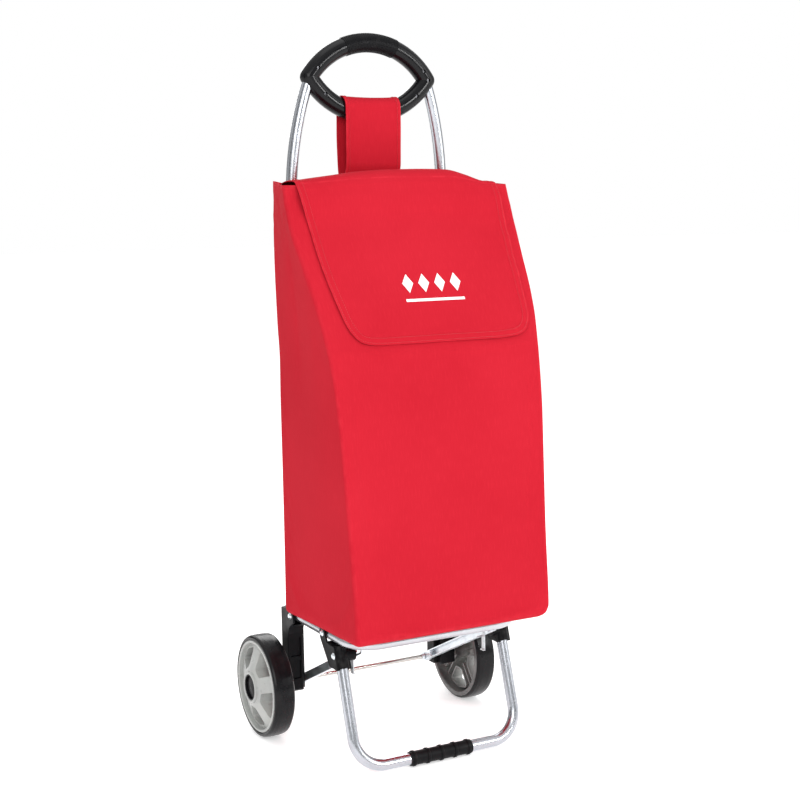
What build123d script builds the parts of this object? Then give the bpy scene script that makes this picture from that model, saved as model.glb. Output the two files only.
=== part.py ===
"""Folding shopping trolley: two-wheel tube frame, fold-up shelf with a stand, and a fabric bag with a flap.

Millimetres. +Z up, -Y is the front (the bag's front panel and the stand), +Y the rear (the wheels), X
across. The origin is on the floor, midway across and midway between the bag's front and the rear of the wheels.
"""
from build123d import *
from math import atan, cos, degrees, hypot, radians, sin
import os

os.makedirs("parts", exist_ok=True)

# ---------------------------------------------------------------- driving dimensions
wheel_r = 75.0                      # wheels are 150 mm over the tyre
tyre_width = 31.0
tyre_thick = 7.5
tyre_outer_x = 184.0                # outer face of the tyre
hub_proud = 10.0                    # hub ring stands this far outside the tyre

tube_d = 16.0                       # all frame tubes
tube_wall = 1.2
axle_d = 7.0

axle_y = 100.0
axle_z = wheel_r

upright_x = 121.0
upright_lean = 0.0513               # the uprights lean forward by this much of their height
upright_y_ref = axle_y - 2.0        # upright's centre at the height below
upright_z_ref = 180.0
upright_bend_z = 790.0              # where the uprights start to curve in to the handle
upright_bend_r = 480.0
upright_bend_angle = 19.0

handle_z = 952.0                    # height of the handle's corners
handle_half = 93.5                  # corner of the bar's centreline, from the middle
handle_rise = 49.8                  # upper arc above the corners
handle_drop = 50.0                  # lower arc below the corners
handle_bar_r = 12.8
handle_wall = 3.0
grip_half_angle = 21.0              # half of the ribbed stretch of the upper arc, in degrees
grip_ribs = 33
grip_rib_width = 1.0

shelf_x = 129.0                     # centre of the shelf's side tubes and of the stand's legs
shelf_z = 183.0
pivot_y = axle_y - 34.0             # the shelf turns about this line, at shelf_z
shelf_rear_y = pivot_y + 10.0       # the shelf tube's two open ends
pivot_hole_r = 3.0                  # holes for the shelf's and the front brackets' pivots
shelf_front_y = axle_y - 225.0
shelf_corner_r = 40.0

hinge_y = axle_y - 140.0            # the front brackets turn about this line on the shelf
hinge_z = 184.0
foot_y = axle_y - 222.0             # the stand's foot bar
foot_rib_r = 11.0                   # ribs round the foot grip; their flats stand on the floor
foot_z = 10.8
leg_lean = 0.3117                   # the legs run back by this much of their height
leg_top_z = 171.0
socket_z = 142.0                    # bottom of the front brackets, where the legs come out
foot_corner_r = 42.0
foot_ribs = 5
foot_pitch = 21.7
foot_rib_width = 4.4
foot_sleeve_r = 9.7
foot_grip_length = 98.0

strut_pin_z = 160.0                 # the pin through the leg that carries the strut's slotted end
strut_pin_d = 5.6
strut_slot_gap = 0.6                # slot's side clearance on the pin, each side
strut_slot_travel = 20.0            # how far the pin slides outwards in the slot as the shelf folds
strut_x_in = 99.5
strut_x_out = 108.7
strut_height = 12.0
strut_wall = 1.6
strut_web_x = strut_x_out - strut_wall
strut_eye_r = 7.5

bracket_x_in = 117.0
bracket_x_out = 141.0
fork_clear = 0.4                    # side clearance between a tube and the fork that holds it

fabric = 2.0
bag_rear_y = axle_y - 45.5
bag_rear_half = 151.0
bag_corner_r = 10.0
bag_stations = (                    # height, front face from the axle, half width at the front
    (194.2, 243.0, 142.0),
    (205.0, 275.0, 149.0),
    (430.0, 252.0, 157.0),
    (570.0, 230.5, 162.5),
    (757.0, 144.0, 174.0),
    (800.0, 130.0, 171.0),
)
board_half = 134.0
board_z = 196.8
board_thick = 3.0

flap_z = 812.0                      # height of the flap's hinge seam
flap_top_half = 158.0
flap_bottom_half = 148.0
flap_bottom_z = 588.0
flap_corner_r = 38.0
strap_width = 92.0
strap_top_z = 929.0
strap_r = 16.0
strap_span = 13.0                   # the bar it goes round sags by this much over the strap's width
strap_sewn_z = 806.0

tube_r = tube_d / 2
axle_r = axle_d / 2
leg_y = lambda z: foot_y + (z - foot_z) * leg_lean
upright_y = lambda z: upright_y_ref - (z - upright_z_ref) * upright_lean
strut_pin_y = leg_y(strut_pin_z)


# ---------------------------------------------------------------- helpers
ON_BASE = (Align.CENTER, Align.CENTER, Align.MIN)


def both(part):
    """The part and its mirror image across the middle, as one shape."""
    return part + mirror(part, about=Plane.YZ)


def rod_x(x0, x1, y, z, r):
    """Round bar along X from x0 to x1."""
    return Pos((x0 + x1) / 2, y, z) * Rot(0, 90, 0) * Cylinder(r, abs(x1 - x0))


def block(x0, x1, y0, y1, z0, z1):
    """Box between two corners."""
    return Pos((x0 + x1) / 2, (y0 + y1) / 2, (z0 + z1) / 2) * Box(abs(x1 - x0), abs(y1 - y0), abs(z1 - z0))


def side_plate(outline, x0, x1):
    """Plate with its outline in the Y-Z plane, from x0 to x1."""
    face = make_face(Polyline(*outline, close=True))
    return extrude(Plane.YZ.offset(x0) * face, amount=x1 - x0)


def tube(path, r, wall):
    """Round tube along a path."""
    start = Plane(origin=path @ 0, z_dir=path % 0)
    return sweep(start * (Circle(r) - Circle(r - wall)), path)


def bar(path, r):
    """Round solid bar along a path."""
    start = Plane(origin=path @ 0, z_dir=path % 0)
    return sweep(start * Circle(r), path)


def rivet(x0, x1, y, z, r, head_r, head):
    """Pin along X from x0 to x1 with a domed head outside each end."""
    dome = Cone(head_r, head_r * 0.55, head, align=ON_BASE)
    pin = rod_x(x0, x1, y, z, r)
    pin += Pos(x1, y, z) * Rot(0, 90, 0) * dome
    pin += Pos(x0, y, z) * Rot(0, -90, 0) * dome
    return pin


# ---------------------------------------------------------------- frame
lean_plane = Plane(origin=(0, upright_y(0), 0), x_dir=(1, 0, 0), z_dir=(0, -1, -upright_lean))
along = hypot(1, upright_lean)      # length along the lean for each unit of height
upright_bottom_z = 90.0
plug_stem = 12.0
bracket_rivet_z = (118.0, 162.0)
bracket_rivet_r = 2.5


def upright_path(z_start):
    run = Line((upright_x, z_start * along), (upright_x, upright_bend_z * along))
    bend = CenterArc(
        (upright_x - upright_bend_r, upright_bend_z * along), upright_bend_r, 0, upright_bend_angle
    )
    return lean_plane * (Curve() + run + bend)


def upright():
    body = tube(upright_path(upright_bottom_z), tube_r, tube_wall)
    for z in bracket_rivet_z:
        body -= rod_x(upright_x - 20, upright_x + 20, upright_y(z), z, bracket_rivet_r + 0.05)
    return body


def upright_plug():
    """Plastic plug in the open lower end of an upright."""
    base = lean_plane * Pos(upright_x, upright_bottom_z * along, 0) * Rot(90, 0, 0)
    head = base * Cylinder(tube_r, 2, align=ON_BASE)
    stem = base * Pos(0, 0, -plug_stem) * Cylinder(tube_r - tube_wall, plug_stem, align=ON_BASE)
    return head + stem


# handle: two arcs that meet at a point on each side, in the plane of the uprights
handle_origin = handle_z * along
upper_arc = ThreePointArc(
    (-handle_half, handle_origin), (0, handle_origin + handle_rise), (handle_half, handle_origin)
)
lower_arc = ThreePointArc(
    (-handle_half, handle_origin), (0, handle_origin - handle_drop), (handle_half, handle_origin)
)


def handle_solid(r):
    """Both arcs of the handle as round bars of radius r, closed by a ball at each corner."""
    body = bar(lean_plane * upper_arc, r) + bar(lean_plane * lower_arc, r)
    for x in (-handle_half, handle_half):
        body += lean_plane * Pos(x, handle_origin, 0) * Sphere(r)
    return body


screw_spots = ((-0.86, 1), (0.86, 1), (-0.72, -1), (0.72, -1), (0.98, 0))


def screw_place(share, arc):
    """Place at a share of the handle's half width, on the upper arc (1), the lower (-1) or a corner (0)."""
    path = {1: upper_arc, -1: lower_arc}.get(arc)
    if path is None:
        return lean_plane * Pos(share * handle_half, handle_origin, 0)
    point = path @ ((share + 1) / 2)
    return lean_plane * Pos(point.X, point.Y, 0)


def handle_halves():
    shell = handle_solid(handle_bar_r) - handle_solid(handle_bar_r - handle_wall)
    socket = bar(upright_path(upright_bend_z - 40), tube_r + 0.05)
    shell -= socket + mirror(socket, about=Plane.YZ)
    for share, arc in screw_spots:
        shell -= screw_place(share, arc) * Pos(0, 0, handle_bar_r) * Cylinder(2.6, 8)
    front = split(shell, bisect_by=lean_plane, keep=Keep.TOP)
    rear = split(shell, bisect_by=lean_plane, keep=Keep.BOTTOM)
    return front, rear


def handle_screws():
    """Screws sunk in the handle's front half."""
    screws = []
    for share, arc in screw_spots:
        place = screw_place(share, arc)
        head = place * Pos(0, 0, handle_bar_r - 3.4) * Cylinder(2.5, 1.6)
        shank = place * Pos(0, 0, handle_bar_r - 6.2) * Cylinder(1.4, 4)
        screws.append(head + shank)
    return Compound(children=screws)


def handle_grip():
    """Ribbed rubber sleeve round the middle of the upper arc."""
    arc_r = (handle_half ** 2 + handle_rise ** 2) / (2 * handle_rise)
    centre_v = handle_origin + handle_rise - arc_r
    span = CenterArc((0, centre_v), arc_r, 90 - grip_half_angle, 2 * grip_half_angle)
    sleeve = bar(lean_plane * span, handle_bar_r + 0.3)
    for i in range(grip_ribs):
        angle = grip_half_angle * (2 * (i + 0.5) / grip_ribs - 1)
        place = lean_plane * Pos(0, centre_v, 0) * Rot(0, 0, angle) * Pos(0, arc_r, 0) * Rot(0, 90, 0)
        sleeve += place * Cylinder(handle_bar_r + 0.7, grip_rib_width)
    longer = CenterArc((0, centre_v), arc_r, 88 - grip_half_angle, 2 * grip_half_angle + 4)
    return sleeve - bar(lean_plane * longer, handle_bar_r + 0.02)


# ---------------------------------------------------------------- rear brackets, axle
leg_front_y = axle_y - 25.0
leg_split_y = axle_y - 9.0
back_half = 11.0                    # half the width of the block round the upright
rear_bottom_z = 65.0
rear_top_z = 186.0
lug_r = 10.0
slot_r = 14.4                       # room for the shelf tube's end to turn about the pivot
fork_in = shelf_x - tube_r - fork_clear
fork_out = shelf_x + tube_r + fork_clear


def rear_bracket():
    leg_outline = [
        (leg_split_y + 6, rear_bottom_z),
        (leg_front_y + 3, rear_bottom_z),
        (leg_front_y, rear_bottom_z + 3),
        (leg_front_y, shelf_z - 30),
        (leg_front_y - 4, shelf_z - 19),
        (pivot_y - lug_r, shelf_z - 8),
        (pivot_y - lug_r, shelf_z),
        (pivot_y, shelf_z + lug_r),
        (leg_split_y + 6, shelf_z + lug_r - 3),
    ]
    leg = side_plate(leg_outline, bracket_x_in, bracket_x_out)
    leg += rod_x(bracket_x_in, bracket_x_out, pivot_y, shelf_z, lug_r)
    back = block(
        upright_x - back_half, upright_x + back_half, axle_y - 12, axle_y + 13, rear_bottom_z, rear_top_z
    )
    back = fillet(back.edges().filter_by(Axis.Z).sort_by(Axis.Y)[-2:], 6)
    body = leg + back
    upright_edges = body.edges().filter_by(Axis.Z)
    body = fillet(upright_edges.filter_by_position(Axis.Y, leg_front_y - 0.1, leg_front_y + 0.1), 2.0)
    room = rod_x(fork_in, fork_out, pivot_y, shelf_z, slot_r)
    room += block(fork_in, fork_out, pivot_y - 40, pivot_y + slot_r, shelf_z, shelf_z + 40)
    room += block(fork_in, fork_out, pivot_y - 40, pivot_y, shelf_z - slot_r, shelf_z + 1)
    body -= room
    body -= bar(upright_path(upright_bottom_z - 3), tube_r + 0.02)
    body -= rod_x(bracket_x_in - 20, bracket_x_out + 20, axle_y, axle_z, 6.0)
    body -= rod_x(bracket_x_in - 20, bracket_x_out + 20, pivot_y, shelf_z, pivot_hole_r)
    for z in bracket_rivet_z:
        body -= rod_x(upright_x - 20, upright_x + back_half - 0.1, upright_y(z), z, bracket_rivet_r)
    # two shallow lightening pockets in the front face of the leg
    for z0, z1 in ((84.0, 112.0), (118.0, 146.0)):
        body -= block(bracket_x_in + 4, bracket_x_out - 4, leg_front_y - 1, leg_front_y + 2.5, z0, z1)
    return body


def bracket_rivets():
    """Two rivets on each side that hold the upright in its bracket."""
    one = None
    for z in bracket_rivet_z:
        item = rod_x(upright_x - back_half, upright_x + back_half - 0.1, upright_y(z), z, bracket_rivet_r)
        item += rod_x(upright_x - back_half - 1.6, upright_x - back_half, upright_y(z), z, 4.2)
        one = item if one is None else one + item
    return both(one)


def shelf_pivot_rivets():
    return both(rivet(bracket_x_in, bracket_x_out, pivot_y, shelf_z, pivot_hole_r - 0.02, 5.2, 2.2))


hub_floor_x = tyre_outer_x - 2.0    # bottom of the recess in the hub's outer end
hub_inner_x = tyre_outer_x - tyre_width - 1.5
bush_in_x = 109.5
bush_out_x = bracket_x_out + 1.0


def axle_rod():
    end = hub_floor_x + 5.0
    return rod_x(-end, end, axle_y, axle_z, axle_r)


def axle_bushes():
    """Black bushes that carry the axle in the rear brackets."""
    body = rod_x(bush_in_x, bush_out_x, axle_y, axle_z, 5.98)
    body += rod_x(bush_out_x - 1, bush_out_x, axle_y, axle_z, 8.5)
    body -= rod_x(bush_in_x - 5, bush_out_x + 5, axle_y, axle_z, axle_r + 0.01)
    return both(body)


def axle_collars():
    """Collars that keep the struts in place along the axle."""
    body = rod_x(94.5, 98.5, axle_y, axle_z, 5.2) - rod_x(90, 110, axle_y, axle_z, axle_r + 0.01)
    return both(body)


def wheel_spacers():
    x0, x1 = bush_out_x, hub_inner_x - 0.6
    body = rod_x(x0, x1, axle_y, axle_z, 6.5) - rod_x(x0 - 5, x1 + 5, axle_y, axle_z, axle_r + 0.01)
    return both(body)


def push_nuts():
    """Sprung push-on nuts on the axle ends, sunk in the hubs."""
    x0 = hub_floor_x + 0.8
    body = rod_x(x0, x0 + 1.2, axle_y, axle_z, 7.5)
    body += Pos(x0 + 1.2, axle_y, axle_z) * Rot(0, 90, 0) * Cone(6.0, 4.2, 1.6, align=ON_BASE)
    body -= rod_x(x0 - 5, x0 + 10, axle_y, axle_z, axle_r + 0.01)
    return both(body)


# ---------------------------------------------------------------- wheels (right-hand wheel; outer side +X)
rim_r = wheel_r - tyre_thick
tyre_x0 = tyre_outer_x - tyre_width
tyre_mid_x = tyre_outer_x - tyre_width / 2
hub_end_x = tyre_outer_x + hub_proud
hub_ring_r = 23.0
hub_recess_r = 19.0
windows = 5
window_turn = -90.0


def wheel_revolve(outline):
    """Revolve a (radius, x) outline about the axle."""
    face = make_face(Polyline(*outline, close=True))
    solid = revolve(Plane.XZ * face, axis=Axis.Z)
    return Pos(0, axle_y, axle_z) * Rot(0, 90, 0) * solid


def tyre():
    crown = 1.2
    outline = [
        (rim_r, tyre_x0 + 1.0),
        (rim_r + 1.5, tyre_x0),
        (wheel_r - 3.5, tyre_x0),
        (wheel_r - 1.6, tyre_x0 + 1.2),
        (wheel_r - crown * 0.5, tyre_x0 + 3.6),
        (wheel_r, tyre_mid_x - 6),
        (wheel_r, tyre_mid_x + 6),
        (wheel_r - crown * 0.5, tyre_outer_x - 3.6),
        (wheel_r - 1.6, tyre_outer_x - 1.2),
        (wheel_r - 3.5, tyre_outer_x),
        (rim_r + 1.5, tyre_outer_x),
        (rim_r, tyre_outer_x - 1.0),
    ]
    return wheel_revolve(outline)


def window_face(grow):
    """Rounded window between two spokes, in the wheel's plane, grown by a margin."""
    r0, r1 = 31.0, 58.0
    a0, a1 = radians(15.0), radians(24.0)
    corners = [
        (r0 * cos(a0), -r0 * sin(a0)),
        (r1 * cos(a1), -r1 * sin(a1)),
        (r1 + 0.5, 0),
        (r1 * cos(a1), r1 * sin(a1)),
        (r0 * cos(a0), r0 * sin(a0)),
    ]
    face = make_face(Polyline(*corners, close=True))
    face = fillet(face.vertices().sort_by(Axis.X)[:4], 4.0)
    return offset(face, amount=grow) if grow else face


def wheel_hub():
    web_rim_x = tyre_outer_x - 6.0
    web_hub_x = hub_end_x - 3.0
    disc = 3.0
    outline = [
        (hub_recess_r, hub_floor_x),
        (hub_recess_r, hub_end_x - 0.8),
        (hub_recess_r + 0.8, hub_end_x),
        (hub_ring_r - 0.8, hub_end_x),
        (hub_ring_r, hub_end_x - 0.8),
        (hub_ring_r + 0.6, web_hub_x),
        (rim_r - 5.0, web_rim_x),
        (rim_r - 4.2, tyre_outer_x - 0.6),
        (rim_r - 3.4, tyre_outer_x + 0.4),
        (rim_r - 0.8, tyre_outer_x + 0.4),
        (rim_r, tyre_outer_x - 0.6),
        (rim_r, tyre_x0 - 0.05),
        (rim_r + 3.0, tyre_x0 - 0.05),
        (rim_r + 2.6, tyre_x0 - 1.0),
        (rim_r - 3.0, tyre_x0 - 1.0),
        (rim_r - 4.0, tyre_x0 + 1.0),
        (rim_r - 5.0, web_rim_x - disc),
        (hub_ring_r + 0.6, web_hub_x - disc),
        (hub_ring_r, web_hub_x - disc - 4),
        (13.0, hub_floor_x - 6),
        (12.0, hub_inner_x),
        (7.0, hub_inner_x),
        (7.0, hub_floor_x),
    ]
    hub = wheel_revolve(outline)
    rib_x0 = tyre_x0 + 9
    behind_web = wheel_revolve([
        (12.5, rib_x0),
        (rim_r - 4.0, rib_x0),
        (rim_r - 5.0, web_rim_x - 0.2),
        (hub_ring_r + 0.6, web_hub_x - 0.2),
        (12.5, web_hub_x - 0.2),
    ])
    face_in = window_face(0)
    face_out = window_face(2.2)
    for i in range(windows):
        place = Pos(0, axle_y, axle_z) * Rot(window_turn + i * 360 / windows, 0, 0)
        wall = place * extrude(Plane.YZ.offset(rib_x0) * (face_out - face_in), amount=40)
        hub += wall & behind_web
        rib = place * block(rib_x0, hub_end_x, -hub_ring_r + 1, -rim_r + 8.5, -1.1, 1.1)
        hub += rib & behind_web
    for i in range(windows):
        place = Pos(0, axle_y, axle_z) * Rot(window_turn + i * 360 / windows, 0, 0)
        hub -= place * extrude(Plane.YZ.offset(tyre_x0 - 5) * face_in, amount=60)
    return hub


def hub_bush():
    """Bearing bush between the hub and the axle."""
    x0, x1 = hub_inner_x - 0.3, hub_floor_x + 0.3
    body = rod_x(x0, x1, axle_y, axle_z, 6.98)
    return body - rod_x(x0 - 5, x1 + 5, axle_y, axle_z, axle_r + 0.08)


def hub_cap():
    """Black cup pressed into the hub's outer recess; its floor covers the axle end."""
    mouth = hub_end_x - 1.0
    outline = [
        (hub_recess_r - 0.02, hub_floor_x + 0.2),
        (hub_recess_r - 0.02, mouth),
        (hub_recess_r - 1.8, mouth),
        (hub_recess_r - 2.4, hub_floor_x + 8.2),
        (0, hub_floor_x + 9.4),
        (0, hub_floor_x + 7.4),
        (hub_recess_r - 4.0, hub_floor_x + 6.4),
        (hub_recess_r - 4.0, hub_floor_x + 0.2),
    ]
    return wheel_revolve(outline)


# ---------------------------------------------------------------- shelf
def shelf_loop():
    path = FilletPolyline(
        (-shelf_x, shelf_rear_y, shelf_z),
        (-shelf_x, shelf_front_y, shelf_z),
        (shelf_x, shelf_front_y, shelf_z),
        (shelf_x, shelf_rear_y, shelf_z),
        radius=shelf_corner_r,
    )
    body = tube(path, tube_r, tube_wall)
    for x in (-shelf_x, shelf_x):
        body -= rod_x(x - 20, x + 20, pivot_y, shelf_z, pivot_hole_r + 0.05)
        body -= rod_x(x - 20, x + 20, hinge_y, hinge_z, pivot_hole_r + 0.05)
    return body


def shelf_plugs():
    """Plastic plugs in the shelf tube's two rear ends."""
    mouth = Pos(shelf_x, shelf_rear_y, shelf_z)
    head = mouth * Rot(-90, 0, 0) * Cylinder(tube_r - 0.2, 1.5, align=ON_BASE)
    stem = mouth * Rot(90, 0, 0) * Cylinder(tube_r - tube_wall, 6, align=ON_BASE)
    return both(head + stem)


def bag_board():
    """Stiff board in the bottom of the bag, which lies on the shelf."""
    board = block(-board_half, board_half, axle_y - 236, axle_y - 56, board_z, board_z + board_thick)
    return fillet(board.edges().filter_by(Axis.Z), 18)


# ---------------------------------------------------------------- front brackets and stand
ear_r = 8.6
socket_r = 10.5
boss_r = 10.0
boss_x = 109.2
front_bracket_x = (bracket_x_in + 0.8, bracket_x_out - 1.2)


def leg_axis_plane():
    """Plane square to the right leg at the bottom of its socket."""
    return Plane(origin=(shelf_x, leg_y(socket_z), socket_z), z_dir=(0, leg_lean, 1))


def front_bracket():
    top = leg_top_z + 1.5
    inner_x, outer_x = front_bracket_x
    outline = [
        (hinge_y + ear_r, hinge_z),
        (hinge_y + ear_r - 3, hinge_z - 9),
        (axle_y - 162, socket_z),
        (leg_y(socket_z) - 6, socket_z),
        (leg_y(top) - 6, top),
        (hinge_y - 15, top + 1.2),
        (hinge_y - ear_r, hinge_z),
    ]
    body = side_plate(outline, inner_x, outer_x)
    body += rod_x(inner_x, outer_x, hinge_y, hinge_z, ear_r)
    place = leg_axis_plane()
    length = (top - socket_z) * hypot(1, leg_lean)
    body += place * Cylinder(socket_r, length, align=ON_BASE)
    body += rod_x(boss_x, shelf_x, strut_pin_y, strut_pin_z, boss_r)
    bore = (leg_top_z - socket_z) * hypot(1, leg_lean) + 20
    body -= place * Pos(0, 0, -20) * Cylinder(tube_r + 0.02, bore, align=ON_BASE)
    # fork for the shelf tube, open above and behind so that the bracket can turn beside the tube
    body -= block(fork_in, fork_out, hinge_y - 60, hinge_y + 60, hinge_z - 9.6, hinge_z + 30)
    body -= block(fork_in, fork_out, hinge_y - tube_r - 2.2, hinge_y + 30, socket_z - 5, hinge_z + 30)
    body -= rod_x(boss_x - 5, bracket_x_out + 5, strut_pin_y, strut_pin_z, strut_pin_d / 2)
    body -= rod_x(boss_x, bracket_x_out + 5, hinge_y, hinge_z, pivot_hole_r)
    return body


def stand_tube():
    top = leg_top_z
    path = FilletPolyline(
        (-shelf_x, leg_y(top), top),
        (-shelf_x, foot_y, foot_z),
        (shelf_x, foot_y, foot_z),
        (shelf_x, leg_y(top), top),
        radius=foot_corner_r,
    )
    body = tube(path, tube_r, tube_wall)
    body -= rod_x(-200, 200, strut_pin_y, strut_pin_z, strut_pin_d / 2)
    return body


def foot_grip():
    """Rubber sleeve round the middle of the foot bar; its ribs stand on the floor."""
    sleeve = rod_x(-foot_grip_length / 2, foot_grip_length / 2, foot_y, foot_z, foot_sleeve_r)
    body = fillet(sleeve.edges(), 0.6)
    for i in range(foot_ribs):
        x = (i - (foot_ribs - 1) / 2) * foot_pitch
        rib = rod_x(x - foot_rib_width / 2, x + foot_rib_width / 2, foot_y, foot_z, foot_rib_r)
        body += fillet(rib.edges(), 1.0)
    body -= rod_x(-foot_grip_length, foot_grip_length, foot_y, foot_z, tube_r + 0.02)
    return body - block(-foot_grip_length, foot_grip_length, foot_y - 20, foot_y + 20, -20, 0)


def bracket_pivot_rivets():
    return both(rivet(*front_bracket_x, hinge_y, hinge_z, pivot_hole_r - 0.02, 4.8, 2.0))


def strut_pins():
    """Pins through the legs; the inner end carries the strut's slotted end under a head."""
    x_head = strut_web_x - 0.5
    x_end = front_bracket_x[1]
    body = rod_x(x_head, x_end, strut_pin_y, strut_pin_z, strut_pin_d / 2 - 0.01)
    body += rod_x(x_head - 1.6, x_head, strut_pin_y, strut_pin_z, 4.6)
    body += Pos(x_end, strut_pin_y, strut_pin_z) * Rot(0, 90, 0) * Cone(4.8, 2.6, 2.0, align=ON_BASE)
    return both(body)


# ---------------------------------------------------------------- struts
strut_length = hypot(strut_pin_y - axle_y, strut_pin_z - axle_z)
strut_angle = degrees(atan((strut_pin_z - axle_z) / (axle_y - strut_pin_y)))
latch_reach = 10.0                  # the latch's rivet is this far short of the pin
latch_thick = 1.2
latch_half = 4.0
latch_drop = 27.0


def on_strut():
    """Local frame on the axle: local -Y runs along the strut to its pin."""
    return Pos(0, axle_y, axle_z) * Rot(-strut_angle, 0, 0)


def strut():
    half = strut_height / 2
    gap_half = strut_pin_d / 2 + strut_slot_gap
    slot_end = strut_length + strut_slot_travel
    channel_end = strut_length - 18.5
    body = block(strut_web_x, strut_x_out, -6, -slot_end, -half, half)
    body += rod_x(strut_web_x, strut_x_out, -slot_end, 0, half)
    body += rod_x(strut_x_in, strut_x_out, 0, 0, strut_eye_r)
    for side in (-1, 1):
        z0, z1 = side * half, side * (half - strut_wall)
        body += block(strut_x_in, strut_x_out, -14, -channel_end, z0, z1)
    body += block(strut_x_in, strut_x_in + strut_wall, -4, -22, -half, half)
    cut_x0, cut_x1 = strut_web_x - 5, strut_x_out + 5
    body -= rod_x(cut_x0, cut_x1, -strut_length, 0, gap_half)
    body -= rod_x(cut_x0, cut_x1, -slot_end, 0, gap_half)
    body -= block(cut_x0, cut_x1, -strut_length, -slot_end, -gap_half, gap_half)
    body -= rod_x(strut_x_in - 5, strut_x_out + 5, 0, 0, axle_r + 0.08)
    return on_strut() * body


def latch():
    """Spring steel finger riveted to the strut, hanging beside its slotted end."""
    back_x = strut_web_x - latch_thick
    plate = rod_x(back_x, strut_web_x, 0, 0, 4.4)
    plate += rod_x(back_x - 1.4, back_x, 0, 0, 2.6)
    finger = block(back_x, strut_web_x, -latch_half, latch_half, -latch_drop, 0)
    finger += block(
        strut_web_x - 3.6, strut_web_x, -latch_half, latch_half, -latch_drop - latch_thick, -latch_drop
    )
    return on_strut() * Pos(0, latch_reach - strut_length, 0) * (plate + Rot(strut_angle, 0, 0) * finger)


# ---------------------------------------------------------------- bag
def bag_section(z, depth, half, inset):
    """Rounded four-sided section of the bag at one height."""
    front = axle_y - depth + inset
    rear = bag_rear_y - inset
    corners = [
        (-(half - inset), front),
        (half - inset, front),
        (bag_rear_half - inset, rear),
        (-(bag_rear_half - inset), rear),
    ]
    face = make_face(Polyline(*corners, close=True))
    face = fillet(face.vertices(), bag_corner_r - inset)
    return Pos(0, 0, z) * face


def bag_body():
    """Fabric bag, open at the top."""
    outer = loft([bag_section(z, d, h, 0) for z, d, h in bag_stations], ruled=True)
    inner_stations = []
    for i, (z, d, h) in enumerate(bag_stations):
        height = z
        if i == 0:
            height = z + fabric
        if i == len(bag_stations) - 1:
            height = z + 1
        inner_stations.append((height, d, h))
    inner = loft([bag_section(z, d, h, fabric) for z, d, h in inner_stations], ruled=True)
    return outer - inner


def bag_front_depth(z):
    """How far the bag's front is in front of the axle, at one height."""
    for (z0, d0, _), (z1, d1, _) in zip(bag_stations, bag_stations[1:]):
        if z0 <= z <= z1:
            return d0 + (d1 - d0) * (z - z0) / (z1 - z0)
    return bag_stations[-1][1]


def strap_outline(over_z, low_z, bend_r, sewn_z, sewn_r):
    """Loop that goes round the handle's bar with bend_r and narrows to sewn_r above the bag's back."""
    edges = (Pos(upright_y(over_z), over_z) * Circle(bend_r)).edges()
    edges += (Pos(upright_y(low_z), low_z) * Circle(bend_r)).edges()
    edges += (Pos(bag_rear_y - 1.5, sewn_z) * Circle(sewn_r)).edges()
    return make_hull(edges)


def bag_strap():
    """Loop of strap over the handle's lower arc, sewn to the top of the bag's back."""
    over_z = strap_top_z - strap_r
    low_z = over_z - strap_span
    outer = strap_outline(over_z, low_z, strap_r, strap_sewn_z, 2.6)
    inner = strap_outline(over_z, low_z, strap_r - fabric, strap_sewn_z + 14, 1.2)
    return extrude(Plane.YZ.offset(-strap_width / 2) * (outer - inner), amount=strap_width)


# flap: a top panel hinged along the back seam, and a front panel that bends at the bag's front edge
flap_hinge_y = bag_rear_y - 7.0
crease_z = 805.0
crease_y = axle_y - 132.0
flap_thick = 2.2


def flap_top():
    outline = [
        (flap_hinge_y, flap_z),
        (flap_hinge_y, flap_z - flap_thick),
        (crease_y + 0.5, crease_z - flap_thick),
        (crease_y + 0.5, crease_z),
        ((flap_hinge_y + crease_y) / 2, (flap_z + crease_z) / 2 + 6),
    ]
    return side_plate(outline, -flap_top_half, flap_top_half)


def flap_front():
    gap = 1.6
    mid_z = 757.0
    inner = [
        (crease_y, crease_z - flap_thick),
        (axle_y - bag_front_depth(mid_z) - gap, mid_z),
        (axle_y - bag_front_depth(flap_bottom_z) - gap, flap_bottom_z),
    ]
    outer = [(y - flap_thick, z) for y, z in reversed(inner)]
    outer[-1] = (crease_y - 0.3, crease_z)
    sheet = side_plate(inner + outer, -flap_top_half, flap_top_half)
    mask_outline = [
        (-flap_top_half, crease_z + 5),
        (-flap_bottom_half, flap_bottom_z),
        (flap_bottom_half, flap_bottom_z),
        (flap_top_half, crease_z + 5),
    ]
    mask_face = make_face(Polyline(*mask_outline, close=True))
    mask_face = fillet(mask_face.vertices().sort_by(Axis.Y)[:2], flap_corner_r)
    mask = extrude(Plane.XZ.offset(0) * mask_face, amount=300)
    return sheet & (mask + mirror(mask, about=Plane.XZ))


# ---------------------------------------------------------------- write one file per piece
handle_front, handle_rear = handle_halves()
nodes = {
    "handle_front": handle_front,
    "handle_rear": handle_rear,
    "handle_screws": handle_screws(),
    "handle_grip": handle_grip(),
    "upright_plugs": both(upright_plug()),
    "bracket_rivets": bracket_rivets(),
    "shelf_pivot_rivets": shelf_pivot_rivets(),
    "axle_rod": axle_rod(),
    "axle_bushes": axle_bushes(),
    "axle_collars": axle_collars(),
    "wheel_spacers": wheel_spacers(),
    "push_nuts": push_nuts(),
    "shelf_loop": shelf_loop(),
    "shelf_plugs": shelf_plugs(),
    "bag_board": bag_board(),
    "stand_tube": stand_tube(),
    "foot_grip": foot_grip(),
    "bracket_pivot_rivets": bracket_pivot_rivets(),
    "strut_pins": strut_pins(),
    "bag_body": bag_body(),
    "bag_strap": bag_strap(),
    "flap_top": flap_top(),
    "flap_front": flap_front(),
}
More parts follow.
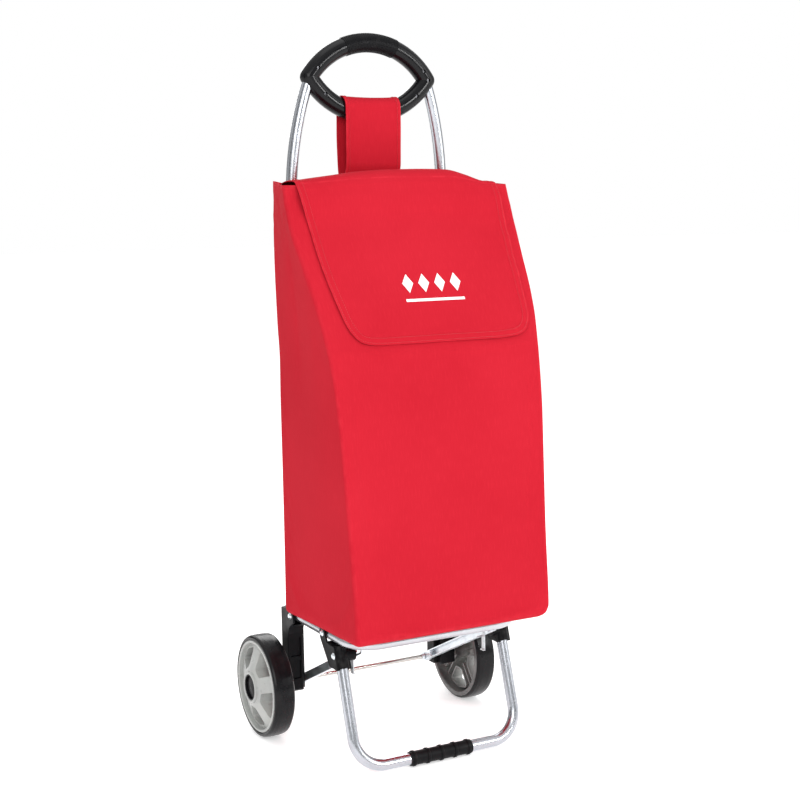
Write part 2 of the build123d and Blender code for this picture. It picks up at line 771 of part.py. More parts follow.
handed = {
    "upright": upright,
    "rear_bracket": rear_bracket,
    "front_bracket": front_bracket,
    "strut": strut,
    "latch": latch,
    "tyre": tyre,
    "wheel_hub": wheel_hub,
    "hub_bush": hub_bush,
    "hub_cap": hub_cap,
}
for name, make in handed.items():
    right = make()
    nodes[name + "_right"] = right
    nodes[name + "_left"] = mirror(right, about=Plane.YZ)

for name, shape in nodes.items():
    export_step(shape, f"parts/{name}.step")
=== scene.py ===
"""Looks of the folding shopping trolley: red cloth bag, flap and strap, metal frame, plastic and rubber.

Metres, in the frame's own axes: +Z up, -Y the front of the bag, X across. The cloth's shapes are worked out
in millimetres and scaled by MM.
"""
from math import cos, exp, pi, radians, sin

import bpy
import numpy as np
from mathutils import Matrix, Vector, noise


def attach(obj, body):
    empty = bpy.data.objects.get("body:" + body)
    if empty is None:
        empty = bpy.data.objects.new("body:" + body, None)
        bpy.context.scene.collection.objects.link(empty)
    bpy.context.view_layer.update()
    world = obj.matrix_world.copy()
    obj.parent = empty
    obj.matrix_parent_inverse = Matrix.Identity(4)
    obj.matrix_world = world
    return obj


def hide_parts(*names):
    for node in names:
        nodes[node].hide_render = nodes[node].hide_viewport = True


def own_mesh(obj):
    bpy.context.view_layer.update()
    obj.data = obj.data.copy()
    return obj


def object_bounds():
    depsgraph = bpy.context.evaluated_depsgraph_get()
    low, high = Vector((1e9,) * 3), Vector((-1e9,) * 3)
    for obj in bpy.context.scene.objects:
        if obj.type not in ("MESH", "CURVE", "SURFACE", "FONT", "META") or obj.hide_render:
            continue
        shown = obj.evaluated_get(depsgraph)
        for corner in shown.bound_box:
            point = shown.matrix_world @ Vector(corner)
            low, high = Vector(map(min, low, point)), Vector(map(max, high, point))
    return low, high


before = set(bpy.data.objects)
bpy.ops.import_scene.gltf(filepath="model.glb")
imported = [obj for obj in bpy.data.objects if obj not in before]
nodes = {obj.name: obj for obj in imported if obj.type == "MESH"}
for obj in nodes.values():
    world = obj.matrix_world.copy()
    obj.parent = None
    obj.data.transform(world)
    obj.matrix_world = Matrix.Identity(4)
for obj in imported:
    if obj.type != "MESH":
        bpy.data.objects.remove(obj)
cad_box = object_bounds()
MM = 0.001
TINY = 1e-12                        # keeps divisions by a length safe

# ---------------------------------------------------------------- camera
CAMERA_PLACE = Vector((-0.9709, -1.8338, 0.7613))
CAMERA_TARGET = Vector((0.06457, 0.100, 0.4804))
CAMERA_LENS = 65.75
CAMERA_SENSOR = 36.0
CAMERA_ROLL = radians(-0.96)


def make_camera():
    data = bpy.data.cameras.new("view")
    data.lens = CAMERA_LENS
    data.sensor_width = CAMERA_SENSOR
    camera = bpy.data.objects.new("view", data)
    bpy.context.scene.collection.objects.link(camera)
    back = (CAMERA_PLACE - CAMERA_TARGET).normalized()
    right = Vector((0, 0, 1)).cross(back).normalized()
    up = back.cross(right)
    turned_right = right * cos(CAMERA_ROLL) + up * sin(CAMERA_ROLL)
    turned_up = up * cos(CAMERA_ROLL) - right * sin(CAMERA_ROLL)
    axes = Matrix((turned_right, turned_up, back)).transposed()
    camera.matrix_world = Matrix.Translation(CAMERA_PLACE) @ axes.to_4x4()
    bpy.context.scene.camera = camera


# ---------------------------------------------------------------- studio
FLOOR_REACH = 30.0
FLOOR_GAP = 0.0004                  # the floor lies this far below the tyres
FLOOR_GLOW = 0.42                   # keeps the floor white out to the horizon
ROOM_LOW, ROOM_HIGH = 0.42, 0.95    # the room's brightness at eye level and overhead
ROOM_HIGH_FROM = 0.8
BODY_MIDDLE = (0.0, 0.0, 0.5)
HANDLE_MIDDLE = (0.0, 0.0, 0.8)
LIGHTS = (                          # name, place, aim, size, power
    ("key", (-1.5, -2.4, 1.7), BODY_MIDDLE, (1.4, 1.8), 30),
    ("spark", (1.05, -2.0, 1.12), HANDLE_MIDDLE, (0.4, 0.4), 12),
    ("fill", (2.2, -1.5, 1.3), BODY_MIDDLE, (1.2, 1.8), 14),
    ("back", (0.8, 2.6, 1.8), BODY_MIDDLE, (1.6, 1.4), 26),
    ("top", (0.0, -0.3, 3.0), BODY_MIDDLE, (1.6, 1.6), 10),
)
CARDS = (                           # name, place, width, height, turn
    ("card_left", (-2.6, -0.3, 1.2), 0.8, 3.0, radians(80)),
    ("card_right", (1.1, -2.9, 1.2), 0.5, 3.0, radians(15)),
    ("card_back", (-0.9, 2.8, 1.2), 0.7, 3.0, radians(10)),
)


def area_light(name, place, aim, size, power):
    data = bpy.data.lights.new(name, "AREA")
    data.shape = "RECTANGLE"
    data.size, data.size_y = size
    data.energy = power
    light = bpy.data.objects.new(name, data)
    bpy.context.scene.collection.objects.link(light)
    light.location = place
    light.rotation_euler = (Vector(aim) - Vector(place)).to_track_quat("-Z", "Y").to_euler()


def dark_card(name, place, width, height, turn):
    """Black panel that shows only in reflections, so that bright metal has dark edges."""
    mesh = bpy.data.meshes.new(name)
    w, h = width / 2, height / 2
    mesh.from_pydata([(-w, 0, -h), (w, 0, -h), (w, 0, h), (-w, 0, h)], [], [(0, 1, 2, 3)])
    card = bpy.data.objects.new(name, mesh)
    bpy.context.scene.collection.objects.link(card)
    card.location = place
    card.rotation_euler = (0, 0, turn)
    card.visible_camera = False
    card.visible_diffuse = False
    card.visible_shadow = False
    black = bpy.data.materials.new(name)
    black.use_nodes = True
    shader = black.node_tree.nodes["Principled BSDF"]
    shader.inputs["Base Color"].default_value = (0.01, 0.01, 0.012, 1)
    shader.inputs["Roughness"].default_value = 1.0
    mesh.materials.append(black)


def make_world():
    """Room light, bright overhead and dim at eye level, with a plain white backdrop behind the trolley."""
    world = bpy.data.worlds.new("studio")
    bpy.context.scene.world = world
    world.use_nodes = True
    tree = world.node_tree
    sky = tree.nodes["Background"]
    sky.inputs["Color"].default_value = (1.0, 1.0, 1.0, 1)
    direction = tree.nodes.new("ShaderNodeTexCoord")
    split = tree.nodes.new("ShaderNodeSeparateXYZ")
    tree.links.new(direction.outputs["Generated"], split.inputs["Vector"])
    rise = tree.nodes.new("ShaderNodeMapRange")
    limits = {"From Min": 0.0, "From Max": ROOM_HIGH_FROM, "To Min": ROOM_LOW, "To Max": ROOM_HIGH}
    for key, value in limits.items():
        rise.inputs[key].default_value = value
    tree.links.new(split.outputs["Z"], rise.inputs["Value"])
    tree.links.new(rise.outputs["Result"], sky.inputs["Strength"])
    backdrop = tree.nodes.new("ShaderNodeBackground")
    backdrop.inputs["Color"].default_value = (1.0, 1.0, 1.0, 1)
    ray = tree.nodes.new("ShaderNodeLightPath")
    choice = tree.nodes.new("ShaderNodeMixShader")
    tree.links.new(ray.outputs["Is Camera Ray"], choice.inputs[0])
    tree.links.new(sky.outputs["Background"], choice.inputs[1])
    tree.links.new(backdrop.outputs["Background"], choice.inputs[2])
    tree.links.new(choice.outputs["Shader"], tree.nodes["World Output"].inputs["Surface"])


def make_floor():
    mesh = bpy.data.meshes.new("floor")
    r = FLOOR_REACH
    mesh.from_pydata([(-r, -r, 0), (r, -r, 0), (r, r, 0), (-r, r, 0)], [], [(0, 1, 2, 3)])
    floor = bpy.data.objects.new("floor", mesh)
    bpy.context.scene.collection.objects.link(floor)
    floor.location.z = cad_box[0].z - FLOOR_GAP
    paint = bpy.data.materials.new("floor")
    paint.use_nodes = True
    shader = paint.node_tree.nodes["Principled BSDF"]
    shader.inputs["Base Color"].default_value = (0.93, 0.93, 0.93, 1)
    shader.inputs["Roughness"].default_value = 0.7
    shader.inputs["Specular IOR Level"].default_value = 0.1
    shader.inputs["Emission Color"].default_value = (1, 1, 1, 1)
    shader.inputs["Emission Strength"].default_value = FLOOR_GLOW
    mesh.materials.append(paint)


def make_studio():
    bpy.context.scene.view_settings.view_transform = "Standard"
    make_world()
    make_floor()
    for light in LIGHTS:
        area_light(*light)
    for card in CARDS:
        dark_card(*card)


# ---------------------------------------------------------------- materials
class Finish:
    """A node material being built: a shader with helpers for its noise, bump and colour."""

    def __init__(self, name):
        self.material = bpy.data.materials.new(name)
        self.material.use_nodes = True
        self.tree = self.material.node_tree
        self.shader = self.tree.nodes["Principled BSDF"]
        self.bump = None

    def add(self, kind, **values):
        node = self.tree.nodes.new(kind)
        for key, value in values.items():
            if hasattr(node, key):
                setattr(node, key, value)
            else:
                node.inputs[key.replace("_", " ")].default_value = value
        return node

    def link(self, source, target):
        self.tree.links.new(source, target)

    def set(self, **values):
        for key, value in values.items():
            self.shader.inputs[key.replace("_", " ")].default_value = value

    def coordinates(self, kind="Object", scale=(1, 1, 1)):
        place = self.add("ShaderNodeTexCoord")
        mapping = self.add("ShaderNodeMapping")
        mapping.inputs["Scale"].default_value = scale
        self.link(place.outputs[kind], mapping.inputs["Vector"])
        return mapping.outputs["Vector"]

    def noise(self, scale, detail=3.0, vector=None, roughness=0.5):
        node = self.add("ShaderNodeTexNoise", Scale=scale, Detail=detail, Roughness=roughness)
        self.link(vector or self.coordinates(), node.inputs["Vector"])
        return node.outputs["Fac"]

    def spread(self, source, low, high, start=0.35, end=0.65):
        """The source, between start and end, as a value between low and high."""
        node = self.add("ShaderNodeMapRange")
        for key, value in {"From Min": start, "From Max": end, "To Min": low, "To Max": high}.items():
            node.inputs[key].default_value = value
        self.link(source, node.inputs["Value"])
        return node.outputs["Result"]

    def mix(self, share, a, b, blend="MIX"):
        """Colour between a and b; each is a colour or an output."""
        node = self.add("ShaderNodeMix", data_type="RGBA", blend_type=blend)
        for key, kind, value in (("Factor", "VALUE", share), ("A", "RGBA", a), ("B", "RGBA", b)):
            socket = next(s for s in node.inputs if s.name == key and s.type == kind)
            if isinstance(value, bpy.types.NodeSocket):
                self.link(value, socket)
            elif key == "Factor":
                socket.default_value = value
            else:
                socket.default_value = (*value, 1)
        return next(s for s in node.outputs if s.type == "RGBA")

    def math(self, operation, a, b=0.0):
        node = self.add("ShaderNodeMath", operation=operation)
        for socket, value in zip(node.inputs, (a, b)):
            if isinstance(value, bpy.types.NodeSocket):
                self.link(value, socket)
            else:
                socket.default_value = value
        return node.outputs["Value"]

    def relief(self, height, distance, strength=1.0):
        """Bump from a height, on top of any bump so far."""
        node = self.add("ShaderNodeBump", Strength=strength, Distance=distance)
        self.link(height, node.inputs["Height"])
        if self.bump is not None:
            self.link(self.bump, node.inputs["Normal"])
        self.bump = node.outputs["Normal"]
        self.link(self.bump, self.shader.inputs["Normal"])

    def colour(self, source):
        self.link(source, self.shader.inputs["Base Color"])

    def rough(self, source):
        self.link(source, self.shader.inputs["Roughness"])


def metal(name, colour, dark, low, high, grain, grain_depth=0.00002):
    """Bright metal with fine drawn grain, handling marks and slightly dulled patches."""
    f = Finish(name)
    f.set(Metallic=1.0)
    patches = f.noise(38.0, 4.0)
    f.colour(f.mix(f.spread(patches, 0.0, 0.8, 0.45, 0.85), colour, dark))
    fine = f.noise(1.0, 2.0, f.coordinates(scale=grain))
    smear = f.noise(17.0, 2.0)
    f.rough(f.math("ADD", f.spread(fine, low, high), f.spread(smear, 0.0, 0.06, 0.5, 0.7)))
    f.relief(fine, grain_depth, 0.15)
    return f.material


def plastic(name, colour, wear, low, high, grain_scale, grain_depth, shine=0.5):
    """Moulded plastic: fine grain, slightly uneven gloss, pale scuffs on its high spots."""
    f = Finish(name)
    f.set(IOR=1.5, Specular_IOR_Level=shine)
    scuffs = f.noise(140.0, 5.0, roughness=0.7)
    edges = f.add("ShaderNodeNewGeometry").outputs["Pointiness"]
    worn = f.math("MULTIPLY", f.spread(edges, 0.0, 1.0, 0.52, 0.62), f.spread(scuffs, 0.0, 1.0, 0.45, 0.7))
    f.colour(f.mix(worn, colour, wear))
    f.rough(f.spread(f.noise(45.0, 3.0), low, high))
    f.relief(f.noise(grain_scale, 2.0), grain_depth, 0.6)
    return f.material


def tyre_rubber():
    """Smooth moulded tyre: satin, with faint mould rings and dust low in the surface."""
    f = Finish("tyre_rubber")
    f.set(IOR=1.5, Specular_IOR_Level=0.2)
    dust = f.noise(60.0, 5.0, roughness=0.65)
    f.colour(f.mix(f.spread(dust, 0.0, 0.5, 0.5, 0.8), (0.005, 0.005, 0.006), (0.02, 0.019, 0.019)))
    f.rough(f.spread(f.noise(30.0, 3.0), 0.22, 0.34))
    ring = f.add("ShaderNodeTexWave", wave_type="BANDS", bands_direction="X", Scale=700.0)
    f.link(f.coordinates(), ring.inputs["Vector"])
    f.relief(ring.outputs["Fac"], 0.00002, 0.25)
    f.relief(f.noise(900.0, 2.0), 0.00003, 0.35)
    return f.material


def grip_rubber():
    f = Finish("grip_rubber")
    f.set(IOR=1.5, Specular_IOR_Level=0.12)
    dust = f.noise(90.0, 5.0, roughness=0.65)
    f.colour(f.mix(f.spread(dust, 0.0, 0.6, 0.5, 0.8), (0.005, 0.005, 0.006), (0.02, 0.019, 0.019)))
    f.rough(f.spread(f.noise(50.0, 3.0), 0.36, 0.52))
    f.relief(f.noise(1300.0, 2.0), 0.00004, 0.5)
    return f.material


RED = (0.60, 0.0165, 0.033)
RED_DEEP = (0.54, 0.012, 0.026)
RED_WORN = (0.66, 0.030, 0.048)
RED_THREAD = (0.58, 0.013, 0.025)
THREAD_PITCH = 0.62 * MM
WAVE_RATE = 20                      # a band texture's wave turns by this many radians per unit, at scale 1


def red_polyester():
    """Plain weave: warp and weft in the cloth's own coordinates, painted shade in the weave's hollows, slubs,
    tonal drift and pale rubbed spots.
    """
    f = Finish("red_cloth")
    f.set(Roughness=0.85, Sheen_Weight=0.015, Sheen_Roughness=0.5, Specular_IOR_Level=0.06)
    f.shader.inputs["Sheen Tint"].default_value = (1.0, 0.55, 0.55, 1)
    cloth = f.coordinates("UV")
    threads = []
    for direction in ("X", "Y"):
        wave = f.add("ShaderNodeTexWave", wave_type="BANDS", bands_direction=direction)
        wave.inputs["Scale"].default_value = pi / THREAD_PITCH / WAVE_RATE
        wave.inputs["Distortion"].default_value = 0.35
        wave.inputs["Detail"].default_value = 1.0
        wave.inputs["Detail Scale"].default_value = 0.6
        f.link(cloth, wave.inputs["Vector"])
        threads.append(wave.outputs["Fac"])
    weave = f.math("MULTIPLY", threads[0], threads[1])
    slubs = f.noise(1.0, 2.0, f.coordinates("UV", scale=(900, 60, 1)))
    drift = f.noise(5.0, 3.0)
    base = f.mix(f.spread(drift, 0.0, 1.0, 0.3, 0.7), RED_DEEP, RED)
    # painted shade: the weave's hollows between the threads are darkened
    weave_gap_shade = f.mix(1.0, base, (0.82, 0.82, 0.82), "MULTIPLY")
    shaded = f.mix(f.spread(weave, 0.0, 0.35, 0.0, 1.0), weave_gap_shade, base)
    flecked = f.mix(f.spread(slubs, 0.0, 0.22, 0.5, 0.75), shaded, RED_WORN)
    edges = f.add("ShaderNodeNewGeometry").outputs["Pointiness"]
    spots = f.spread(f.noise(70.0, 4.0), 0.2, 1.0, 0.4, 0.6)
    rubbed = f.math("MULTIPLY", f.spread(edges, 0.0, 0.5, 0.515, 0.58), spots)
    f.colour(f.mix(rubbed, flecked, RED_WORN))
    f.relief(f.noise(28.0, 3.0), 0.0004, 0.35)
    f.relief(weave, 0.00012, 0.45)
    return f.material


def sewing_thread():
    f = Finish("red_thread")
    f.set(Roughness=0.55, Sheen_Weight=0.2)
    twist = f.noise(2600.0, 2.0)
    f.colour(f.mix(f.spread(twist, 0.0, 1.0), RED_THREAD, tuple(c * 0.7 for c in RED_THREAD)))
    f.relief(twist, 0.00008, 0.5)
    return f.material


def print_ink():
    """White screen print: the weave shows through it a little."""
    f = Finish("print_ink")
    f.set(Roughness=0.6)
    f.colour(f.mix(f.spread(f.noise(700.0, 3.0), 0.0, 0.5, 0.5, 0.8), (0.86, 0.86, 0.86), (0.75, 0.6, 0.6)))
    f.relief(f.noise(1600.0, 2.0), 0.00005, 0.5)
    return f.material


def board_fibre():
    f = Finish("board_fibre")
    f.set(Roughness=0.8)
    speck = f.noise(420.0, 5.0, roughness=0.7)
    f.colour(f.mix(f.spread(speck, 0.0, 1.0), (0.16, 0.11, 0.07), (0.27, 0.19, 0.12)))
    f.relief(speck, 0.0001, 0.5)
    return f.material


# painted shade: the hub is darkened on its inner side, between these distances from the middle
HUB_SHADE_X = (0.156, 0.178)         # between these distances from the middle the hub turns from dark to grey


def hub_plastic():
    """Grey satin plastic with a metallic fleck, with painted shade darkening it inside the wheel."""
    f = Finish("hub_plastic_fine")
    f.set(IOR=1.5, Specular_IOR_Level=0.6)
    fleck = f.noise(1500.0, 2.0)
    drift = f.noise(20.0, 2.0)
    base = f.mix(f.spread(drift, 0.0, 1.0), (0.34, 0.35, 0.34), (0.41, 0.42, 0.40))
    lit = f.mix(f.spread(fleck, 0.0, 0.35, 0.5, 0.8), base, (0.52, 0.53, 0.52))
    across = f.add("ShaderNodeSeparateXYZ")
    f.link(f.coordinates(), across.inputs["Vector"])
    # painted shade: darkens the hub towards its inner side, broken up a little by noise
    inner_shade = f.spread(f.math("ABSOLUTE", across.outputs["X"]), 1.0, 0.0, *HUB_SHADE_X)
    shade_breakup = f.spread(f.noise(35.0, 4.0), 0.75, 1.0)
    f.colour(f.mix(f.math("MULTIPLY", inner_shade, shade_breakup), lit, (0.045, 0.038, 0.040)))
    f.rough(f.spread(f.noise(60.0, 3.0), 0.26, 0.4))
    f.relief(fleck, 0.00003, 0.4)
    return f.material


def dress(material, *names):
    """Put a material in every slot of the named CAD nodes."""
    for name in names:
        mesh = nodes[name].data
        if not mesh.materials:
            mesh.materials.append(material)
        for i in range(len(mesh.materials)):
            mesh.materials[i] = material


def sides(*names):
    return [f"{name}_{side}" for name in names for side in ("left", "right")]


def dress_frame():
    drawn_x = (40, 1500, 1500)
    drawn_y = (1500, 60, 1500)
    drawn_z = (1500, 1500, 40)
    upright = metal("tube_upright", (0.54, 0.56, 0.6), (0.43, 0.45, 0.48), 0.18, 0.28, drawn_z)
    dress(upright, *sides("upright"))
    dress(metal("tube_stand", (0.5, 0.52, 0.56), (0.4, 0.42, 0.45), 0.18, 0.28, drawn_z), "stand_tube")
    dress(metal("tube_shelf", (0.52, 0.53, 0.56), (0.42, 0.43, 0.46), 0.22, 0.34, drawn_y), "shelf_loop")
    dress(metal("axle_chrome", (0.6, 0.59, 0.56), (0.48, 0.47, 0.45), 0.1, 0.2, drawn_x), "axle_rod")
    dress(
        metal("zinc_plate", (0.84, 0.9, 0.94), (0.7, 0.76, 0.8), 0.3, 0.46, (120, 120, 120), 0.00004),
        *sides("strut"), "axle_collars", "strut_pins", "bracket_pivot_rivets", "shelf_pivot_rivets",
        "bracket_rivets", "push_nuts",
    )
    screws = metal("black_steel", (0.06, 0.06, 0.065), (0.03, 0.03, 0.03), 0.25, 0.4, (90, 90, 90))
    dress(screws, "handle_screws")
    spring = metal("spring_steel", (0.62, 0.64, 0.66), (0.5, 0.51, 0.53), 0.24, 0.38, (90, 90, 400))
    dress(spring, *sides("latch"))
    black = (0.004, 0.004, 0.005)
    scuff = (0.02, 0.02, 0.02)
    dress(
        plastic("bracket_black", black, scuff, 0.3, 0.42, 1100.0, 0.00005, 0.1),
        *sides("rear_bracket", "front_bracket"), "upright_plugs", "shelf_plugs", "axle_bushes",
        "wheel_spacers",
    )
    handle = plastic("handle_black", black, scuff, 0.16, 0.26, 380.0, 0.00003, 0.22)
    dress(handle, "handle_front", "handle_rear")
    dress(plastic("cap_black", black, scuff, 0.2, 0.32, 800.0, 0.00003, 0.06), *sides("hub_cap"))
    nylon = plastic("bush_nylon", (0.62, 0.61, 0.58), (0.7, 0.7, 0.68), 0.4, 0.5, 900.0, 0.00004)
    dress(nylon, *sides("hub_bush"))
    dress(grip_rubber(), "handle_grip", "foot_grip")
    dress(tyre_rubber(), *sides("tyre"))
    dress(hub_plastic(), *sides("wheel_hub"))
    dress(board_fibre(), "bag_board")


# ---------------------------------------------------------------- cloth shapes
def smooth_curve(points, at):
    """Smooth curve through (x, y) points, without overshoot, read at some x values."""
    x, y = (np.array(v, float) for v in zip(*points))
    step = np.diff(y) / np.diff(x)
    slope = np.zeros(len(x))
    slope[0], slope[-1] = step[0], step[-1]
    for i in range(1, len(x) - 1):
        if step[i - 1] * step[i] > 0:
            slope[i] = 2 * step[i - 1] * step[i] / (step[i - 1] + step[i])
    at = np.clip(np.asarray(at, float), x[0], x[-1])
    i = np.clip(np.searchsorted(x, at, side="right") - 1, 0, len(x) - 2)
    h = x[i + 1] - x[i]
    t = (at - x[i]) / h
    return (
        y[i] * (2 * t ** 3 - 3 * t ** 2 + 1) + h * slope[i] * (t ** 3 - 2 * t ** 2 + t)
        + y[i + 1] * (3 * t ** 2 - 2 * t ** 3) + h * slope[i + 1] * (t ** 3 - t ** 2)
    )


# the bag's shape by height, in millimetres
BAG_FRONT = (
    (194, -150), (198, -166), (205, -174), (240, -172), (330, -162), (430, -151), (500, -142), (570, -128),
    (640, -98), (700, -68), (757, -43), (786, -34), (800, -30),
)
BAG_LEFT = (
    (194, 138), (198, 146), (205, 151), (282, 152), (400, 154.5), (535, 158.5), (584, 162), (641, 165),
    (688, 168.5), (739, 175.5), (793, 176.5), (800, 176),
)
BAG_RIGHT = (
    (194, 134), (198, 141), (205, 146), (214, 150), (276, 151.5), (400, 157), (500, 162.5), (576, 167),
    (628, 174.5), (681, 178), (731, 179), (789, 176), (800, 175),
)
BAG_BOTTOM, BAG_TOP = 194.0, 800.0
BAG_REAR = 54.5
BAG_REAR_LEFT = (
    (194, 149), (198, 152), (205, 152.5), (503, 152.8), (560, 152.3), (614, 154.5), (700, 156), (800, 153.5),
)
BAG_REAR_RIGHT = ((194, 148), (205, 151), (480, 151.5), (640, 153), (760, 155.5), (800, 155))
BAG_REAR_HALF = 152.0
FRONT_HALF = 160.0
BAG_FOOT = (194, 195.2, 197.5, 200.5, 204, 208, 213)     # heights of the closely spaced rows round the bottom
BAG_FLOOR_SHARES = (0.85, 0.6, 0.35, 0.12)
ROW_STEP = 6.0
GIRTH_RUNS = (44, 76, 44, 78)       # cells along the right side, rear, left side and front
CORNER_CELLS = 4
FRONT_ROUND, REAR_ROUND = 6.0, 4.5
RIM_LIFT = 8.0                      # the rim's rear corners stand this much higher
RIM_LIFT_FROM = 730.0
RIM_LIFT_DEPTH = (-30.0, 84.5)      # where the lift starts, and how far behind that it is complete
INSIDE = Vector((0, -40))           # a place inside the bag at every height
CLOTH = 1.1


def ripple(x, y, z, size, seed):
    """Smooth random swing between -1 and 1."""
    return noise.noise(Vector((x / size + seed, y / size - seed, z / size + 2 * seed)))


def bag_ring(z):
    """Points of the bag's outline at one height, evenly spaced on each run."""
    front = float(smooth_curve(BAG_FRONT, z))
    left, right, rear_left, rear_right = (
        float(smooth_curve(table, z)) for table in (BAG_LEFT, BAG_RIGHT, BAG_REAR_LEFT, BAG_REAR_RIGHT)
    )
    corners = [
        (Vector((right, front)), FRONT_ROUND), (Vector((rear_right, BAG_REAR)), REAR_ROUND),
        (Vector((-rear_left, BAG_REAR)), REAR_ROUND), (Vector((-left, front)), FRONT_ROUND),
    ]
    points = []
    count = len(corners)
    for i, (corner, r) in enumerate(corners):
        before, after = corners[i - 1][0], corners[(i + 1) % count][0]
        a, b = (before - corner).normalized(), (after - corner).normalized()
        start, end = corner + a * r, corner + b * r
        for k in range(CORNER_CELLS + 1):
            t = k / CORNER_CELLS
            points.append(start * (1 - t) ** 2 + corner * 2 * t * (1 - t) + end * t ** 2)
        following, following_r = corners[(i + 1) % count]
        stop = following + (corner - following).normalized() * following_r
        for k in range(1, GIRTH_RUNS[i]):
            points.append(end.lerp(stop, k / GIRTH_RUNS[i]))
    return points


def mesh_object(name, points, faces, uv=None):
    mesh = bpy.data.meshes.new(name)
    mesh.from_pydata([tuple(p) for p in points], [], faces)
    if uv is not None:
        layer = mesh.uv_layers.new(name="cloth")
        for loop in mesh.loops:
            layer.data[loop.index].uv = uv[loop.vertex_index]
    mesh.shade_smooth()
    piece = bpy.data.objects.new(name, mesh)
    bpy.context.scene.collection.objects.link(piece)
    return piece


def thicken(piece, thickness):
    """Give a surface a thickness, inwards, in its mesh itself."""
    solid = piece.modifiers.new("thickness", "SOLIDIFY")
    solid.thickness = thickness
    solid.offset = -1.0
    evaluated = piece.evaluated_get(bpy.context.evaluated_depsgraph_get())
    mesh = bpy.data.meshes.new_from_object(evaluated)
    piece.modifiers.clear()
    piece.data = mesh


def clamp(value):
    return min(1.0, max(0.0, value))


def free_share(z):
    """How free a wall is to move at one height: 0 at its bottom and rim, 1 midway."""
    return sin(pi * clamp((z - BAG_BOTTOM) / (BAG_TOP - BAG_BOTTOM)))


def belly(x, z):
    """How far the front wall swells out, in millimetres."""
    dome = cos(clamp(abs(x) / FRONT_HALF) * pi / 2)
    return free_share(z) * (2.0 * dome + 1.4 * ripple(x, 0, z * 0.6, 120.0, 7.7))


def front_y(x, z):
    """The front wall's place at one width and height, in millimetres."""
    return float(smooth_curve(BAG_FRONT, z)) - belly(x, z)


def side_swing(p, z):
    """How far a side wall stands out: tall ripples, pulled in midway, with puckers under the rim."""
    side = 5.0 if p.x > 0 else 0.0
    swing = free_share(z) * (1.7 * ripple(p.y, 0, z * 0.16, 44.0, 3.1 + side) - 2.2)
    near_rim = exp(-((BAG_TOP - z - 34.0) / 22.0) ** 2)
    return swing + near_rim * 1.5 * ripple(p.y * 0.35, 0, z, 8.0, 1.4 + side)


def make_bag():
    """The bag: four soft walls and a flat bottom, open at the top. Also gives its girth count and heights."""
    heights = list(BAG_FOOT)
    rows = round((BAG_TOP - heights[-1]) / ROW_STEP)
    heights += [heights[-1] + (BAG_TOP - heights[-1]) * (i + 1) / rows for i in range(rows)]
    rings = [bag_ring(z) for z in heights]
    count = len(rings[0])
    middle = rings[len(rings) // 2]
    girth = [0.0]
    for i in range(1, count):
        girth.append(girth[-1] + (middle[i] - middle[i - 1]).length)
    points, uv, faces = [], [], []
    for z, ring in zip(heights, rings):
        for i, p in enumerate(ring):
            before, after = ring[i - 1], ring[(i + 1) % count]
            out = Vector((before.y - after.y, after.x - before.x)).normalized() * -1
            if out.dot(p - INSIDE) < 0:
                out = -out
            front_wall = max(0.0, -out.y) ** 2
            q = p + out * (out.x ** 2 * side_swing(p, z) + front_wall * belly(p.x, z))
            back = clamp((q.y - RIM_LIFT_DEPTH[0]) / RIM_LIFT_DEPTH[1]) * clamp(abs(q.x) / BAG_REAR_HALF) ** 5
            lift = RIM_LIFT * back * max(0.0, z - RIM_LIFT_FROM) / (BAG_TOP - RIM_LIFT_FROM)
            points.append(Vector((q.x * MM, q.y * MM, (z + lift) * MM)))
            uv.append((girth[i] * MM, z * MM))
    for row in range(len(heights) - 1):
        for i in range(count):
            a = row * count + i
            b = row * count + (i + 1) % count
            faces.append((a, a + count, b + count, b))
    # bottom: nested rings down to a small middle panel
    lowest = [Vector((p.x, p.y)) for p in points[:count]]
    centre = sum(lowest, Vector((0, 0))) / count
    last = list(range(count))
    for share in BAG_FLOOR_SHARES:
        ring_ids = []
        for i in range(count):
            p = centre.lerp(lowest[i], share)
            ring_ids.append(len(points))
            points.append(Vector((p.x, p.y, BAG_BOTTOM * MM)))
            uv.append((p.x, p.y))
        for i in range(count):
            faces.append((last[i], last[(i + 1) % count], ring_ids[(i + 1) % count], ring_ids[i]))
        last = ring_ids
    faces.append(tuple(reversed(last)))
    return mesh_object("bag_cloth", points, faces, uv), count, heights


SETTLE_FRAMES = 24
CLOTH_STIFFNESS = 18.0


def settle(piece, pinned, cap):
    """Let a cloth hang for some frames, with some vertices pinned; no vertex moves further than the cap."""
    scene = bpy.context.scene
    rest = np.array([v.co for v in piece.data.vertices])
    group = piece.vertex_groups.new(name="held")
    for i, weight in enumerate(pinned):
        if weight > 0:
            group.add([i], float(weight), "REPLACE")
    cloth = piece.modifiers.new("hang", "CLOTH")
    settings = cloth.settings
    settings.quality = 5
    settings.mass = 0.25
    settings.tension_stiffness = settings.compression_stiffness = CLOTH_STIFFNESS
    settings.shear_stiffness = CLOTH_STIFFNESS * 0.5
    settings.bending_stiffness = 1.2
    settings.tension_damping = settings.compression_damping = 12
    settings.air_damping = 2.0
    settings.vertex_group_mass = "held"
    cloth.collision_settings.use_collision = False
    cloth.point_cache.frame_start = scene.frame_start = 1
    cloth.point_cache.frame_end = scene.frame_end = SETTLE_FRAMES
    for step in range(1, SETTLE_FRAMES + 1):
        scene.frame_set(step)
    evaluated = piece.evaluated_get(bpy.context.evaluated_depsgraph_get())
    moved = np.array([v.co for v in evaluated.data.vertices])
    piece.modifiers.remove(cloth)
    scene.frame_set(1)
    piece.vertex_groups.clear()
    shift = moved - rest
    length = np.linalg.norm(shift, axis=1, keepdims=True)
    shift *= np.minimum(1.0, cap / np.maximum(length, TINY))
    piece.data.vertices.foreach_set("co", (rest + shift).astype(np.float32).ravel())
    piece.data.update()


